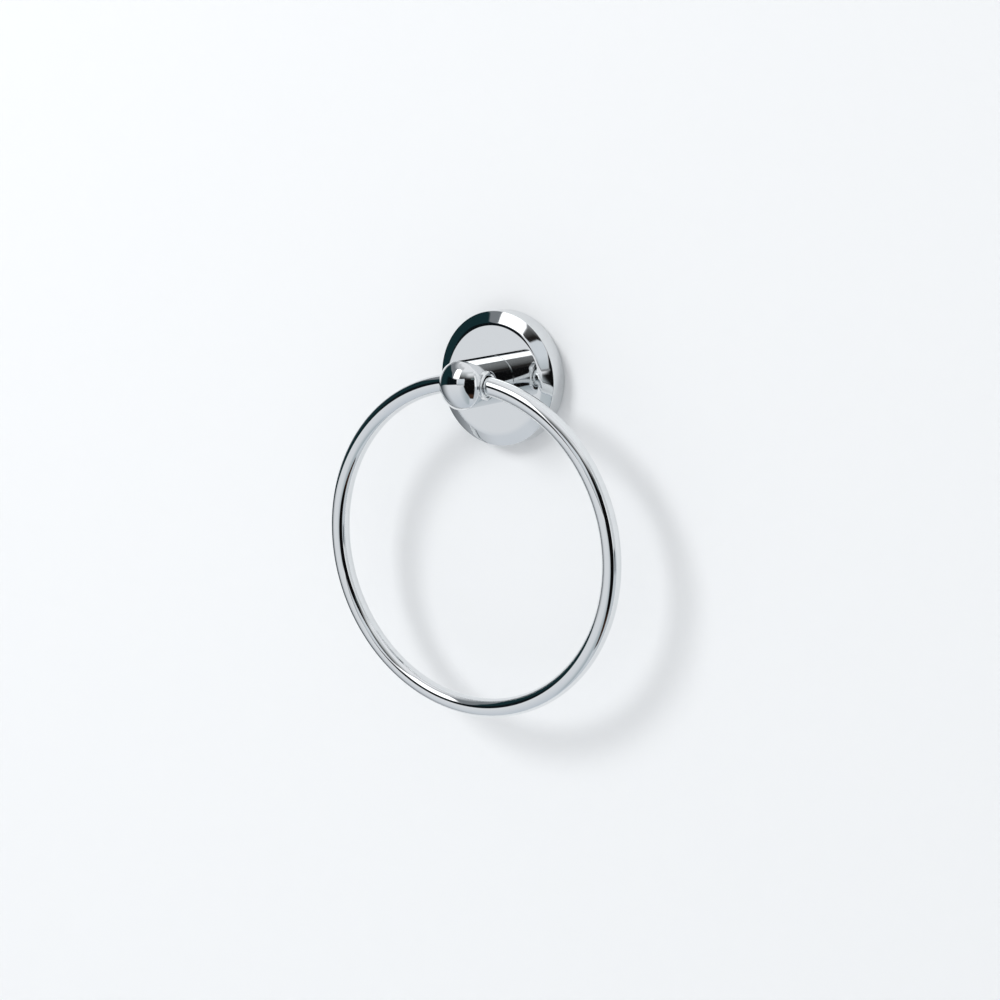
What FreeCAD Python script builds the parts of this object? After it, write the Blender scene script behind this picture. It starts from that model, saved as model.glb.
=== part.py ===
import FreeCAD, Part
import math
import os

import Sketcher
from FreeCAD import Placement, Rotation, Vector

# Towel ring for a wall: a round rose with a flat face, a short post and a swinging rod ring.
# Millimetres. The wall is the plane Y = 0, the object stands out towards -Y, and +Z is up.
# The origin is the centre of the rose on the wall. "Out" is a distance from the wall.
# The ring hangs on the swing axis, which runs along X through the head of the post.

# Driving sizes
SIZES = {
    # wall rose: a turned shell
    "rose_radius": 34.5,
    "rose_depth": 13.0,
    "face_radius": 28.2,
    "rim_depth": 10.0,
    "rose_wall": 2.2,
    "rim_wall": 2.4,
    "bevel_crown_radius": 120.0,
    "bevel_blend": 0.5,
    "shoulder_blend": 10.0,
    "back_edge": 0.4,
    "inner_blend": 1.0,
    # post
    "post_radius": 12.25,
    "post_length": 30.3,
    "dome_rise": 6.3,
    "dome_edge": 0.8,
    "base_chamfer": 0.35,
    "spigot_radius": 6.0,
    "spigot_gap": 0.1,
    "tapped_depth": 14.0,
    "drill_tip": 1.8,
    "ring_setback": 8.0,
    # ring: a rod bent into an open loop with two straight journals
    "rod_radius": 4.75,
    "ring_radius": 83.7,
    "bend_radius": 18.0,
    "end_gap": 6.0,
    "journal_reach": 1.3,
    "journal_chamfer": 0.5,
    # collar bushes
    "running_clearance": 0.3,
    "bush_wall": 1.0,
    "collar_width": 1.25,
    "collar_stand": 0.4,
    "collar_edge": 0.35,
    "bush_spigot_length": 6.0,
    "mouth_clearance": 0.5,
    "seat_cut": 0.15,
    # wall plate
    "plate_thickness": 6.2,
    "plate_clearance": 0.4,
    "plate_undercut": 2.0,
    "plate_recess_clearance": 2.0,
    "plate_recess_depth": 2.2,
    "plate_edge": 0.3,
    "slot_land": 3.35,
    "slot_length": 9.5,
    "slot_width": 5.0,
    "slot_countersink": 1.6,
    # fasteners
    "seat_clearance": 0.05,
    "screw_radius": 3.0,
    "screw_length": 16.0,
    "screw_head_radius": 5.25,
    "screw_head_height": 3.3,
    "screw_head_edge": 1.6,
    "screw_socket": 4.0,
    "screw_socket_depth": 2.0,
    "screw_tip": 0.6,
    "washer_radius": 8.0,
    "washer_thickness": 1.2,
    "lock_washer_radius": 5.4,
    "lock_washer_thickness": 1.6,
    "lock_washer_split": 0.8,
    "washer_hole_clearance": 0.2,
    "grub_radius": 2.0,
    "grub_length": 4.0,
    "grub_point_radius": 0.7,
    "grub_point_gap": 0.3,
    "grub_out": 3.2,
    "grub_socket": 2.0,
    "grub_socket_depth": 1.8,
}

# Sizes that follow from the driving ones, so that mating faces move together
FOLLOWING = {
    "bevel_slope": "(rose_depth - rim_depth) / (rose_radius - face_radius)",
    "bevel_offset": "rose_wall * sqrt(1 + bevel_slope ^ 2)",
    "rose_bore": "rose_radius - rim_wall",
    "rose_inner_out": "rose_depth - rose_wall",
    "inner_rim_out": "rim_depth + rim_wall * bevel_slope - bevel_offset",
    "inner_face_radius": "rose_radius - (rose_inner_out - rim_depth + bevel_offset) / bevel_slope",
    "rose_hole": "spigot_radius + seat_clearance",
    "spigot_out": "rose_inner_out + spigot_gap",
    "head_out": "rose_depth + post_length",
    "apex_out": "head_out + dome_rise",
    "ring_out": "head_out - ring_setback",
    "tapped_radius": "screw_radius + seat_clearance",
    "tapped_out": "spigot_out + tapped_depth",
    "drill_tip_out": "tapped_out + drill_tip",
    "bush_bore": "rod_radius + running_clearance",
    "ring_sag": "running_clearance - seat_clearance",
    "bush_radius": "bush_bore + bush_wall",
    "collar_radius": "bush_radius + collar_width",
    "collar_seat": "sqrt(post_radius ^ 2 - collar_radius ^ 2) - seat_cut",
    "spot_face_radius": "collar_radius + seat_clearance",
    "collar_face": "post_radius + collar_stand",
    "bush_end": "collar_seat - bush_spigot_length",
    "mouth_radius": "rod_radius + mouth_clearance",
    "journal_start": "end_gap / 2",
    "journal_end": "collar_seat + journal_reach",
    "plate_lip_radius": "rose_bore - plate_clearance",
    "plate_core_radius": "plate_lip_radius - plate_undercut",
    "shoulder_out": "grub_out + grub_point_radius - grub_point_gap + seat_clearance",
    "lip_out": "shoulder_out + plate_undercut",
    "plate_floor_out": "plate_thickness - plate_recess_depth",
    "plate_recess_radius": "screw_head_radius + plate_recess_clearance",
    "slot_radius": "slot_width / 2",
    "slot_high": "plate_core_radius - slot_land - slot_countersink - slot_radius",
    "slot_low": "slot_high - slot_length + slot_width",
    "washer_out": "rose_inner_out - washer_thickness",
    "lock_washer_out": "washer_out - lock_washer_thickness",
    "screw_head_out": "lock_washer_out - screw_head_height",
    "screw_end_out": "lock_washer_out + screw_length",
    "washer_hole": "screw_radius + washer_hole_clearance",
    "grub_hole": "grub_radius + seat_clearance",
    "grub_tip_drop": "plate_core_radius + grub_point_gap",
    "grub_cone_drop": "grub_tip_drop + grub_radius - grub_point_radius",
    "grub_end_drop": "grub_tip_drop + grub_length",
}

# Names for the sketcher's own numbers, and how near two lengths have to be to count as equal
TOLERANCE = 1e-4
FULL_TURN = 360.0
START, END, CENTRE = range(1, 4)
H_AXIS, V_AXIS = range(-1, -3, -1)
ORIGIN = (H_AXIS, START)

doc = FreeCAD.newDocument("TowelRing")
sheet = doc.addObject("Spreadsheet::Sheet", "Sizes")


def fill_sheet():
    """Write the driving sizes and the formulas that follow from them, one row each."""
    row = 0
    for name, value in SIZES.items():
        row += 1
        sheet.set("A%d" % row, name)
        sheet.set("B%d" % row, str(value))
        sheet.setAlias("B%d" % row, name)
    doc.recompute()
    for name, formula in FOLLOWING.items():
        row += 1
        sheet.set("A%d" % row, name)
        sheet.set("B%d" % row, "=" + formula)
        sheet.setAlias("B%d" % row, name)
        doc.recompute()


def size(name):
    """The value of one size in the sheet, in millimetres."""
    return float(sheet.get(name))


def new_body(name):
    """A body whose label is the name of its file."""
    body = doc.addObject("PartDesign::Body", "Body_" + name)
    body.Label = name
    return body


def new_sketch(body, name, plane_role, offset=None):
    """A sketch on one of the body's own planes, moved along its normal by a named size."""
    sketch = body.newObject("Sketcher::SketchObject", name)
    plane = next(item for item in body.Origin.OriginFeatures if item.Role == plane_role)
    sketch.AttachmentSupport = [(plane, "")]
    sketch.MapMode = "FlatFace"
    if offset:
        sketch.setExpression("AttachmentOffset.Base.z", "Sizes." + offset)
    return sketch


def bind(sketch, constraint, name, formula):
    """Add a constraint under a name and drive its value from the sheet."""
    index = sketch.addConstraint(constraint)
    sketch.renameConstraint(index, name)
    sketch.setExpression("Constraints." + name, formula)
    return index


def turned_sketch(body, name, points, crowned=None, domed=None):
    """Closed half-profile of a turned piece, on the body's XY plane.

    Each point is (radius, out): names of sizes, or None for zero. Radius is measured
    from the Y axis and out towards -Y. The side that starts at the point numbered
    by crowned is an outward arc of the radius bevel_crown_radius. The side that starts
    at the point numbered by domed is an arc centred on the axis.
    """
    sketch = new_sketch(body, name, "XY_Plane")
    places = []
    for radius, out in points:
        x = size(radius) if radius else 0.0
        y = -size(out) if out else 0.0
        places.append(Vector(x, y, 0))
    count = len(points)
    ends = []
    for i in range(count):
        here = places[i]
        there = places[(i + 1) % count]
        if i == crowned:
            sketch.addGeometry(outward_arc(here, there, size("bevel_crown_radius")))
            ends.append((END, START))
        elif i == domed:
            rise = here.y - there.y
            sphere = (here.x ** 2 + rise ** 2) / (2 * rise)
            sketch.addGeometry(outward_arc(here, there, sphere))
            ends.append((END, START))
        else:
            sketch.addGeometry(Part.LineSegment(here, there))
            ends.append((START, END))
    for i, (radius, out) in enumerate(points):
        last = (i - 1) % count
        at = ends[i][0]
        sketch.addConstraint(Sketcher.Constraint("Coincident", last, ends[last][1], i, at))
        if radius:
            rule = Sketcher.Constraint("DistanceX", *ORIGIN, i, at, places[i].x)
            bind(sketch, rule, "radius_%d" % i, "Sizes." + radius)
        else:
            sketch.addConstraint(Sketcher.Constraint("PointOnObject", i, at, V_AXIS))
        if out:
            rule = Sketcher.Constraint("DistanceY", i, at, *ORIGIN, -places[i].y)
            bind(sketch, rule, "out_%d" % i, "Sizes." + out)
        else:
            sketch.addConstraint(Sketcher.Constraint("PointOnObject", i, at, H_AXIS))
    if crowned is not None:
        rule = Sketcher.Constraint("Radius", crowned, size("bevel_crown_radius"))
        bind(sketch, rule, "crown", "Sizes.bevel_crown_radius")
    if domed is not None:
        sketch.addConstraint(Sketcher.Constraint("PointOnObject", domed, CENTRE, V_AXIS))
    return sketch


def outward_arc(here, there, radius):
    """Arc from there to here, counter-clockwise, that bulges away from the axis and the wall."""
    chord = there - here
    middle = (here + there) * 0.5
    across = Vector(chord.y, -chord.x, 0).normalize()
    height = math.sqrt(radius ** 2 - (chord.Length / 2) ** 2)
    centre = middle + across * height
    first = math.atan2(there.y - centre.y, there.x - centre.x)
    last = math.atan2(here.y - centre.y, here.x - centre.x)
    return Part.ArcOfCircle(Part.Circle(centre, Vector(0, 0, 1), radius), first, last)


def revolve(body, name, sketch):
    """Turn a half-profile once round the sketch's vertical axis."""
    feature = body.newObject("PartDesign::Revolution", name)
    feature.Profile = sketch
    feature.ReferenceAxis = (sketch, ["V_Axis"])
    feature.Angle = FULL_TURN
    doc.recompute()
    return feature


def pocket(body, name, sketch, depth=None, side="One side", reversed_way=False):
    """Cut a sketch into the body, to a named depth or right through."""
    volume = body.Shape.Volume
    feature = body.newObject("PartDesign::Pocket", name)
    feature.Profile = sketch
    feature.SideType = side
    feature.Reversed = reversed_way
    if depth:
        feature.Type = "Length"
        feature.setExpression("Length", "Sizes." + depth)
    else:
        feature.Type = "ThroughAll"
    doc.recompute()
    if not body.Shape.Volume < volume - TOLERANCE:
        raise RuntimeError(name + " cuts nothing")
    return feature


def mirrored(body, name, feature, plane_role):
    """Repeat a feature on the other side of one of the body's planes."""
    volume = body.Shape.Volume
    mirror = body.newObject("PartDesign::Mirrored", name)
    mirror.Originals = [feature]
    plane = next(item for item in body.Origin.OriginFeatures if item.Role == plane_role)
    mirror.MirrorPlane = (plane, [""])
    body.Tip = mirror
    doc.recompute()
    if not body.Shape.Volume < volume - TOLERANCE:
        raise RuntimeError(name + " changes nothing")
    return mirror


def round_edges(feature, radius, out):
    """Names of the circular edges round the Y axis at a radius and a distance out."""
    names = []
    for number, edge in enumerate(feature.Shape.Edges, 1):
        if edge.Degenerated or not isinstance(edge.Curve, Part.Circle):
            continue
        curve = edge.Curve
        on_axis = abs(curve.Center.x) < TOLERANCE and abs(curve.Center.z) < TOLERANCE
        same_size = abs(curve.Radius - radius) < TOLERANCE
        if on_axis and same_size and abs(curve.Center.y + out) < TOLERANCE:
            names.append("Edge%d" % number)
    return names


def dress(body, kind, name, edges, amount):
    """Fillet or chamfer the named edges of the body's last feature."""
    if not edges:
        raise RuntimeError(name + " finds no edge")
    base = body.Tip
    feature = body.newObject("PartDesign::" + kind, name)
    feature.Base = (base, edges)
    feature.setExpression("Radius" if kind == "Fillet" else "Size", "Sizes." + amount)
    doc.recompute()
    return feature


def circle_sketch(body, name, plane_role, radius, offset=None, across=None, down=None):
    """One circle on a plane; its centre is moved by named sizes, or stays on the axes."""
    sketch = new_sketch(body, name, plane_role, offset)
    x = -size(across) if across else 0.0
    y = -size(down) if down else 0.0
    circle = Part.Circle(Vector(x, y, 0), Vector(0, 0, 1), size(radius))
    sketch.addGeometry(circle)
    bind(sketch, Sketcher.Constraint("Radius", 0, size(radius)), "radius", "Sizes." + radius)
    if across:
        rule = Sketcher.Constraint("DistanceX", 0, CENTRE, *ORIGIN, -x)
        bind(sketch, rule, "across", "Sizes." + across)
    else:
        sketch.addConstraint(Sketcher.Constraint("PointOnObject", 0, CENTRE, V_AXIS))
    if down:
        rule = Sketcher.Constraint("DistanceY", 0, CENTRE, *ORIGIN, -y)
        bind(sketch, rule, "down", "Sizes." + down)
    else:
        sketch.addConstraint(Sketcher.Constraint("PointOnObject", 0, CENTRE, H_AXIS))
    return sketch


def hexagon_sketch(body, name, offset, flats):
    """A regular hexagon round the Y axis, a named size across its flats."""
    sketch = new_sketch(body, name, "XZ_Plane", offset)
    corner = size(flats) / math.sqrt(3)
    sides = 6
    places = []
    for i in range(sides):
        angle = 2 * math.pi * i / sides
        places.append(Vector(corner * math.cos(angle), corner * math.sin(angle), 0))
    for i in range(sides):
        sketch.addGeometry(Part.LineSegment(places[i], places[(i + 1) % sides]))
    guide = sketch.addGeometry(Part.Circle(Vector(0, 0, 0), Vector(0, 0, 1), corner), True)
    sketch.addConstraint(Sketcher.Constraint("Coincident", guide, CENTRE, *ORIGIN))
    for i in range(sides):
        sketch.addConstraint(Sketcher.Constraint("Coincident", i, END, (i + 1) % sides, START))
        sketch.addConstraint(Sketcher.Constraint("PointOnObject", i, START, guide))
    for i in range(1, sides):
        sketch.addConstraint(Sketcher.Constraint("Equal", 0, i))
    sketch.addConstraint(Sketcher.Constraint("Horizontal", 1))
    rule = Sketcher.Constraint("Radius", guide, corner)
    bind(sketch, rule, "corner", "Sizes.%s / sqrt(3)" % flats)
    return sketch


def make_wall_rose():
    """The turned cover: flat face, soft shoulder, crowned bevel, straight rim, hollow behind."""
    body = new_body("wall_rose")
    points = [
        ("rose_radius", None),
        ("rose_radius", "rim_depth"),
        ("face_radius", "rose_depth"),
        ("rose_hole", "rose_depth"),
        ("rose_hole", "rose_inner_out"),
        ("inner_face_radius", "rose_inner_out"),
        ("rose_bore", "inner_rim_out"),
        ("rose_bore", None),
    ]
    turning = revolve(body, "RoseTurning", turned_sketch(body, "RoseProfile", points, crowned=1))
    edges = round_edges(turning, size("rose_radius"), size("rim_depth"))
    dress(body, "Fillet", "RimBlend", edges, "bevel_blend")
    edges = round_edges(body.Tip, size("face_radius"), size("rose_depth"))
    dress(body, "Fillet", "Shoulder", edges, "shoulder_blend")
    edges = round_edges(body.Tip, size("rose_radius"), 0.0)
    dress(body, "Fillet", "BackEdge", edges, "back_edge")
    edges = round_edges(body.Tip, size("inner_face_radius"), size("rose_inner_out"))
    edges += round_edges(body.Tip, size("rose_bore"), size("inner_rim_out"))
    dress(body, "Fillet", "InnerBlend", edges, "inner_blend")
    hole = circle_sketch(body, "GrubHole", "XY_Plane", "grub_hole", down="grub_out")
    pocket(body, "GrubBore", hole)
    return body


def make_post():
    """The turned arm, drilled from behind and bored across for the ring's bushes."""
    body = new_body("post")
    points = [
        ("tapped_radius", "spigot_out"),
        ("spigot_radius", "spigot_out"),
        ("spigot_radius", "rose_depth"),
        ("post_radius", "rose_depth"),
        ("post_radius", "head_out"),
        (None, "apex_out"),
        (None, "drill_tip_out"),
        ("tapped_radius", "tapped_out"),
    ]
    turning = revolve(body, "PostTurning", turned_sketch(body, "PostProfile", points, domed=4))
    edges = round_edges(turning, size("post_radius"), size("head_out"))
    dress(body, "Fillet", "DomeEdge", edges, "dome_edge")
    edges = round_edges(body.Tip, size("post_radius"), size("rose_depth"))
    dress(body, "Chamfer", "BaseChamfer", edges, "base_chamfer")
    bore = circle_sketch(body, "CrossBoreCircle", "YZ_Plane", "bush_radius", across="ring_out")
    pocket(body, "CrossBore", bore, side="Symmetric")
    seat = circle_sketch(body, "SpotFaceCircle", "YZ_Plane", "spot_face_radius",
                         offset="collar_seat", across="ring_out")
    face = pocket(body, "SpotFace", seat, reversed_way=True)
    mirrored(body, "SpotFaces", face, "YZ_Plane")
    return body


def make_bush(name, turn):
    """A turned collar bush; its spigot is pressed into the cross bore, its mouth is flared."""
    body = new_body(name)
    points = [
        ("bush_bore", "bush_end"),
        ("bush_radius", "bush_end"),
        ("bush_radius", "collar_seat"),
        ("collar_radius", "collar_seat"),
        ("collar_radius", "collar_face"),
        ("mouth_radius", "collar_face"),
        ("bush_bore", "journal_end"),
    ]
    turning = revolve(body, name + "_turning", turned_sketch(body, name + "_profile", points))
    edges = round_edges(turning, size("collar_radius"), size("collar_face"))
    dress(body, "Fillet", name + "_edge", edges, "collar_edge")
    body.Placement = Placement(Vector(0, 0, 0), Rotation(Vector(0, 0, 1), turn))
    body.setExpression("Placement.Base.y", "-Sizes.ring_out")
    return body


def ring_path(body):
    """The rod's centre line: journal, tight bend, the big arc, tight bend, journal."""
    path = new_sketch(body, "RingPath", "XZ_Plane")
    start = size("journal_start")
    reach = size("journal_end")
    bend = size("bend_radius")
    big = size("ring_radius")
    drop = bend + math.sqrt((big - bend) ** 2 - reach ** 2)
    lean = math.asin(reach / (big - bend))
    up = math.pi / 2
    normal = Vector(0, 0, 1)
    right_bend = Part.Circle(Vector(reach, -bend, 0), normal, bend)
    left_bend = Part.Circle(Vector(-reach, -bend, 0), normal, bend)
    hoop = Part.Circle(Vector(0, -drop, 0), normal, big)
    path.addGeometry(Part.LineSegment(Vector(start, 0, 0), Vector(reach, 0, 0)))
    path.addGeometry(Part.ArcOfCircle(right_bend, up - lean, up))
    path.addGeometry(Part.ArcOfCircle(hoop, up + lean, up - lean + 2 * math.pi))
    path.addGeometry(Part.ArcOfCircle(left_bend, up, up + lean))
    path.addGeometry(Part.LineSegment(Vector(-reach, 0, 0), Vector(-start, 0, 0)))
    right, first, loop, last, left = range(5)
    path.addConstraint(Sketcher.Constraint("PointOnObject", right, START, H_AXIS))
    path.addConstraint(Sketcher.Constraint("PointOnObject", right, END, H_AXIS))
    path.addConstraint(Sketcher.Constraint("Tangent", right, END, first, END))
    path.addConstraint(Sketcher.Constraint("Tangent", first, START, loop, END))
    path.addConstraint(Sketcher.Constraint("PointOnObject", loop, CENTRE, V_AXIS))
    path.addConstraint(Sketcher.Constraint("Tangent", loop, START, last, END))
    path.addConstraint(Sketcher.Constraint("Equal", first, last))
    path.addConstraint(Sketcher.Constraint("Tangent", last, START, left, START))
    path.addConstraint(Sketcher.Constraint("PointOnObject", left, END, H_AXIS))
    path.addConstraint(Sketcher.Constraint("PointOnObject", left, START, H_AXIS))
    rule = Sketcher.Constraint("DistanceX", *ORIGIN, right, START, start)
    bind(path, rule, "right_end", "Sizes.journal_start")
    rule = Sketcher.Constraint("DistanceX", *ORIGIN, right, END, reach)
    bind(path, rule, "right_bend", "Sizes.journal_end")
    rule = Sketcher.Constraint("DistanceX", left, END, *ORIGIN, start)
    bind(path, rule, "left_end", "Sizes.journal_start")
    bind(path, Sketcher.Constraint("Radius", first, bend), "bend", "Sizes.bend_radius")
    bind(path, Sketcher.Constraint("Radius", loop, big), "hoop", "Sizes.ring_radius")
    return path


def make_ring():
    """One rod swept along the path, with broken edges at its two hidden ends.

    It hangs by its own weight, so its journals rest low in the wider bushes.
    """
    body = new_body("ring")
    path = ring_path(body)
    rod = circle_sketch(body, "RodSection", "YZ_Plane", "rod_radius", offset="journal_start")
    doc.recompute()
    sweep = body.newObject("PartDesign::AdditivePipe", "RodSweep")
    sweep.Profile = rod
    sweep.Spine = (path, ["Edge%d" % number for number in range(1, 6)])
    sweep.Mode = "Frenet"
    doc.recompute()
    ends = []
    for number, edge in enumerate(sweep.Shape.Edges, 1):
        box = edge.BoundBox
        near = abs(abs(box.XMin) - size("journal_start")) < TOLERANCE
        if near and abs(box.XMax - box.XMin) < TOLERANCE:
            ends.append("Edge%d" % number)
    dress(body, "Chamfer", "JournalEnds", ends, "journal_chamfer")
    body.setExpression("Placement.Base.y", "-Sizes.ring_out")
    body.setExpression("Placement.Base.z", "-Sizes.ring_sag")
    return body


def slot_sketch(body):
    """One screw slot in the upper half of the wall plate."""
    sketch = new_sketch(body, "Slot", "XZ_Plane")
    radius = size("slot_radius")
    low = size("slot_low")
    high = size("slot_high")
    normal = Vector(0, 0, 1)
    top = Part.Circle(Vector(0, high, 0), normal, radius)
    bottom = Part.Circle(Vector(0, low, 0), normal, radius)
    sketch.addGeometry(Part.ArcOfCircle(top, 0, math.pi))
    sketch.addGeometry(Part.LineSegment(Vector(-radius, high, 0), Vector(-radius, low, 0)))
    sketch.addGeometry(Part.ArcOfCircle(bottom, math.pi, 2 * math.pi))
    sketch.addGeometry(Part.LineSegment(Vector(radius, low, 0), Vector(radius, high, 0)))
    for i in range(4):
        sketch.addConstraint(Sketcher.Constraint("Tangent", i, END, (i + 1) % 4, START))
    sketch.addConstraint(Sketcher.Constraint("Equal", 0, 2))
    for arc, name, height in ((0, "slot_high", high), (2, "slot_low", low)):
        sketch.addConstraint(Sketcher.Constraint("PointOnObject", arc, CENTRE, V_AXIS))
        rule = Sketcher.Constraint("DistanceY", *ORIGIN, arc, CENTRE, height)
        bind(sketch, rule, name, "Sizes." + name)
    bind(sketch, Sketcher.Constraint("Radius", 0, radius), "radius", "Sizes.slot_radius")
    return sketch


def make_wall_plate():
    """The cast plate under the rose: undercut edge for the grub screw, two screw slots."""
    body = new_body("wall_plate")
    points = [
        (None, None),
        ("plate_core_radius", None),
        ("plate_core_radius", "shoulder_out"),
        ("plate_lip_radius", "lip_out"),
        ("plate_lip_radius", "plate_thickness"),
        ("plate_recess_radius", "plate_thickness"),
        ("plate_recess_radius", "plate_floor_out"),
        (None, "plate_floor_out"),
    ]
    turning = revolve(body, "PlateTurning", turned_sketch(body, "PlateProfile", points))
    edges = round_edges(turning, size("plate_lip_radius"), size("plate_thickness"))
    edges += round_edges(turning, size("plate_recess_radius"), size("plate_thickness"))
    dress(body, "Chamfer", "PlateEdge", edges, "plate_edge")
    slot = pocket(body, "UpperSlot", slot_sketch(body), reversed_way=True)
    mirrored(body, "Slots", slot, "XY_Plane")
    front = -size("plate_thickness")
    edges = []
    for number, edge in enumerate(body.Tip.Shape.Edges, 1):
        box = edge.BoundBox
        flat = abs(box.YMin - front) < TOLERANCE and abs(box.YMax - front) < TOLERANCE
        off_centre = box.ZMin * box.ZMax > 0
        if flat and off_centre:
            edges.append("Edge%d" % number)
    dress(body, "Chamfer", "SlotCountersinks", edges, "slot_countersink")
    return body


def make_post_screw():
    """Button-head socket screw that pulls the post onto the rose from behind."""
    body = new_body("post_screw")
    points = [
        (None, "screw_head_out"),
        ("screw_head_radius", "screw_head_out"),
        ("screw_head_radius", "lock_washer_out"),
        ("screw_radius", "lock_washer_out"),
        ("screw_radius", "screw_end_out"),
        (None, "screw_end_out"),
    ]
    turning = revolve(body, "ScrewTurning", turned_sketch(body, "ScrewProfile", points))
    edges = round_edges(turning, size("screw_head_radius"), size("screw_head_out"))
    dress(body, "Fillet", "HeadEdge", edges, "screw_head_edge")
    edges = round_edges(body.Tip, size("screw_radius"), size("screw_end_out"))
    dress(body, "Chamfer", "ScrewTip", edges, "screw_tip")
    socket = hexagon_sketch(body, "ScrewSocket", "screw_head_out", "screw_socket")
    pocket(body, "ScrewSocketCut", socket, depth="screw_socket_depth", reversed_way=True)
    return body


def make_washer(name, radius, near, far):
    """A flat ring under the screw's head, between two distances out."""
    body = new_body(name)
    points = [
        ("washer_hole", near),
        (radius, near),
        (radius, far),
        ("washer_hole", far),
    ]
    revolve(body, name + "_turning", turned_sketch(body, name + "_profile", points))
    return body


def make_lock_washer():
    """The spring washer: the flat ring with one slit through it."""
    body = make_washer("lock_washer", "lock_washer_radius", "lock_washer_out", "washer_out")
    slit = new_sketch(body, "SlitOutline", "XZ_Plane")
    half = size("lock_washer_split") / 2
    reach = size("lock_washer_radius") + half
    corners = [Vector(-half, 0, 0), Vector(half, 0, 0), Vector(half, reach, 0), Vector(-half, reach, 0)]
    for i in range(4):
        slit.addGeometry(Part.LineSegment(corners[i], corners[(i + 1) % 4]))
    for i in range(4):
        slit.addConstraint(Sketcher.Constraint("Coincident", i, END, (i + 1) % 4, START))
    for side in (0, 2):
        slit.addConstraint(Sketcher.Constraint("Horizontal", side))
    for side in (1, 3):
        slit.addConstraint(Sketcher.Constraint("Vertical", side))
    slit.addConstraint(Sketcher.Constraint("Symmetric", 0, START, 0, END, *ORIGIN))
    rule = Sketcher.Constraint("DistanceX", 0, START, 0, END, 2 * half)
    bind(slit, rule, "split", "Sizes.lock_washer_split")
    rule = Sketcher.Constraint("DistanceY", 1, START, 1, END, reach)
    bind(slit, rule, "reach", "Sizes.lock_washer_radius + Sizes.lock_washer_split / 2")
    pocket(body, "Slit", slit, reversed_way=True)
    return body


def make_grub_screw():
    """Cone-point set screw in the underside of the rim, pointing up at the plate's shoulder."""
    body = new_body("grub_screw")
    points = [
        (None, "grub_tip_drop"),
        ("grub_point_radius", "grub_tip_drop"),
        ("grub_radius", "grub_cone_drop"),
        ("grub_radius", "grub_end_drop"),
        (None, "grub_end_drop"),
    ]
    revolve(body, "GrubTurning", turned_sketch(body, "GrubProfile", points))
    socket = hexagon_sketch(body, "GrubSocket", "grub_end_drop", "grub_socket")
    pocket(body, "GrubSocketCut", socket, depth="grub_socket_depth")
    body.Placement = Placement(Vector(0, 0, 0), Rotation(Vector(1, 0, 0), 90))
    body.setExpression("Placement.Base.y", "-Sizes.grub_out")
    return body


def check_document():
    """Stop if any object of the document failed to compute."""
    for item in doc.Objects:
        if "Invalid" in item.State or "Error" in item.State:
            raise RuntimeError("%s is %s" % (item.Label, item.State))


def export(bodies):
    """Check each sub-part's solid and write it to its own file."""
    os.makedirs("parts", exist_ok=True)
    for body in bodies:
        shape = body.Shape
        if shape.isNull() or not shape.isValid() or len(shape.Solids) != 1:
            raise RuntimeError(body.Label + " is not one valid solid")
        shape.exportStep("parts/%s.step" % body.Label)
        print("%-12s %9.1f mm3" % (body.Label, shape.Volume))


fill_sheet()
PARTS = [
    make_wall_plate(),
    make_wall_rose(),
    make_post(),
    make_washer("post_washer", "washer_radius", "washer_out", "rose_inner_out"),
    make_lock_washer(),
    make_post_screw(),
    make_grub_screw(),
    make_bush("bush_right", 90),
    make_bush("bush_left", -90),
    make_ring(),
]
doc.recompute()
check_document()
export(PARTS)
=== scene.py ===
"""Chrome towel ring on a plain pale wall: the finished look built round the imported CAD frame.

Sizes are in millimetres unless a name says otherwise. The wall is the plane y = 0, the object
stands out towards -y and +z is up. "Out" is a distance from the wall.
"""
import logging
import math
from dataclasses import dataclass, field
from enum import Enum
from functools import partial
from itertools import accumulate
from typing import Any, Optional, Sequence

import bpy
from bpy.types import Material, Mesh, Node, NodeSocket, NodeTree, Object
from mathutils import Matrix, Vector


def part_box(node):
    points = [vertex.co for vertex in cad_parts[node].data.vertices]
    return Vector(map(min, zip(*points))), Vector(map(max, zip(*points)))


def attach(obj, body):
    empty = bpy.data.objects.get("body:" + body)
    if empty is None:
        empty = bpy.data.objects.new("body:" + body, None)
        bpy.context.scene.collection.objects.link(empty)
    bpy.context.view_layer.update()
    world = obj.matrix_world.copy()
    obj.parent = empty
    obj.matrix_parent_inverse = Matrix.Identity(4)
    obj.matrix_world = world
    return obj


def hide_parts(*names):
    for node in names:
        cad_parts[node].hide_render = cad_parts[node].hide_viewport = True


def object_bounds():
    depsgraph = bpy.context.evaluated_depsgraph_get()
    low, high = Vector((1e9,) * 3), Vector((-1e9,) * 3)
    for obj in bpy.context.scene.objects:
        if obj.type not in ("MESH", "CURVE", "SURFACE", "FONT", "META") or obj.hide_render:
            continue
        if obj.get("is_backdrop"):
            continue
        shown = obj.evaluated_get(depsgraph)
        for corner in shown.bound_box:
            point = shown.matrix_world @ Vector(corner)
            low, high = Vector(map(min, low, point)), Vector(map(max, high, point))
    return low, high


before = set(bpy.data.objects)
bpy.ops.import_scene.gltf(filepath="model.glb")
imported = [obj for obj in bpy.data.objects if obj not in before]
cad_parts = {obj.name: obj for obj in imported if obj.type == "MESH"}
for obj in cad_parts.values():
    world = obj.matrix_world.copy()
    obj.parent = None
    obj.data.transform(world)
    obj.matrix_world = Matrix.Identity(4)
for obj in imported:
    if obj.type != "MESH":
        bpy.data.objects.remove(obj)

LOG = logging.getLogger("towel_ring")
MM = 0.001
TRUE_NORMAL = "true_normal"
SHARP_ANGLE = 32.0
CAD_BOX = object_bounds()

# Lengths that count as nothing, and gaps between two points that count as one point.
NOTHING = 1e-6
MEETING = 1e-4
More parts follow.
